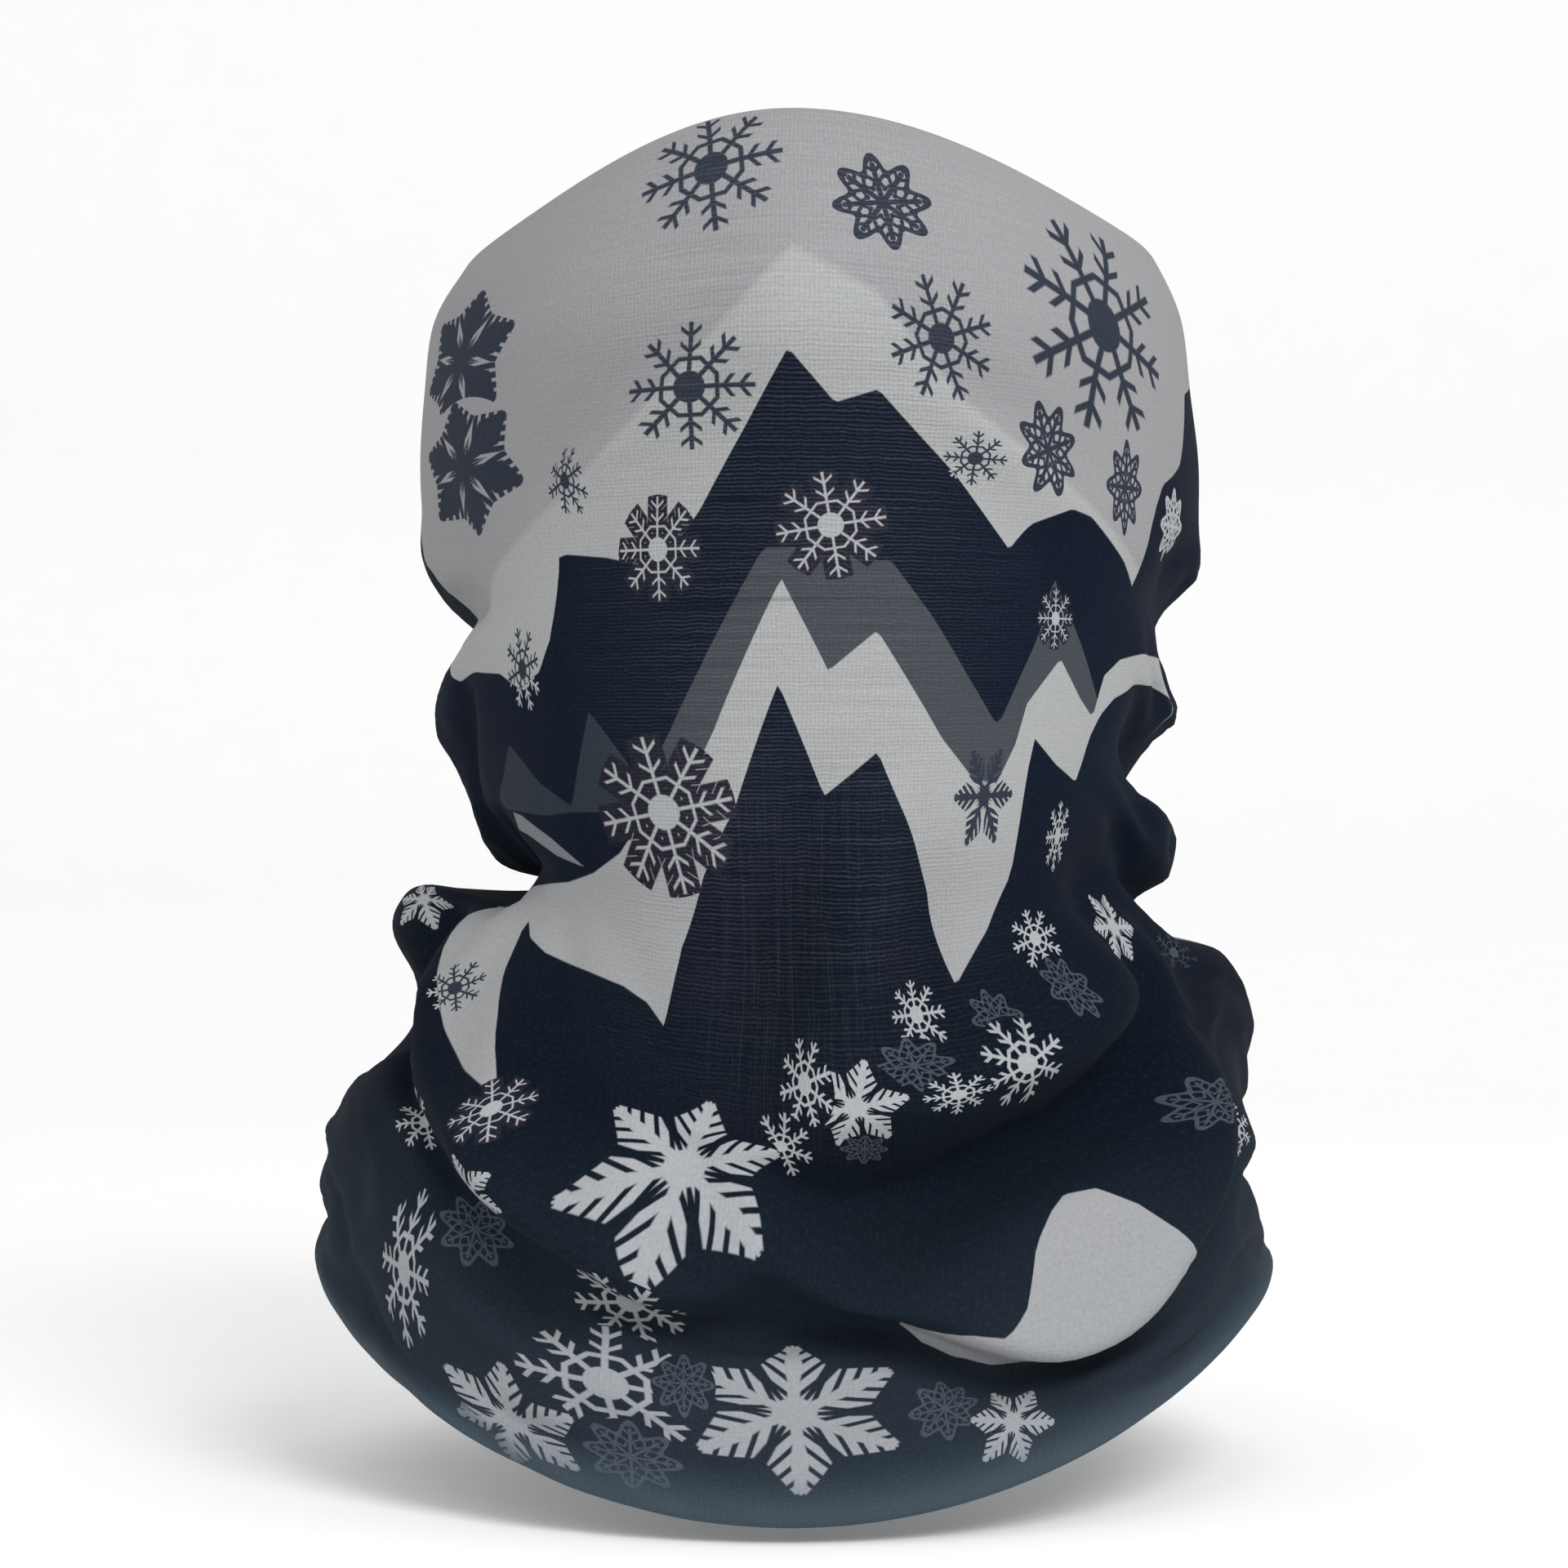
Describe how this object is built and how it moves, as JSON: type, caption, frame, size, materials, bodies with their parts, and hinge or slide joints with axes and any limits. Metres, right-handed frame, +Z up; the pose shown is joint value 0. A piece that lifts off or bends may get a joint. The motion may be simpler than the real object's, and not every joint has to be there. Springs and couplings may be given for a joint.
{
  "type": "neck gaiter",
  "caption": "Stretch-knit tube neck gaiter in its worn shape: over nose and ears at the top, slack rolls at the neck, a bib over the chest, printed with mountains and snowflakes.",
  "frame": {"origin": "the middle of the wearer's neck, level with the deepest crease below the jaw", "axes": "+Z up along the neck, -Y the way the wearer faces, +X the wearer's left"},
  "size_m": [0.2051, 0.2208, 0.27],
  "materials": {
    "printed_knit": "matt polyester microfibre knit, sublimation printed in navy, mid grey and pale grey, unprinted white inside",
    "overlock_thread": "textured navy polyester sewing thread",
    "label_ribbon": "blank white satin ribbon with heat-cut ends"
  },
  "bodies": {
    "root": {"knit_tube": "printed_knit", "top_needle_thread": "overlock_thread", "top_upper_looper_thread": "overlock_thread", "top_lower_looper_thread": "overlock_thread", "bottom_needle_thread": "overlock_thread", "bottom_upper_looper_thread": "overlock_thread", "bottom_lower_looper_thread": "overlock_thread", "care_label": "label_ribbon"}
  },
  "joints": []
}
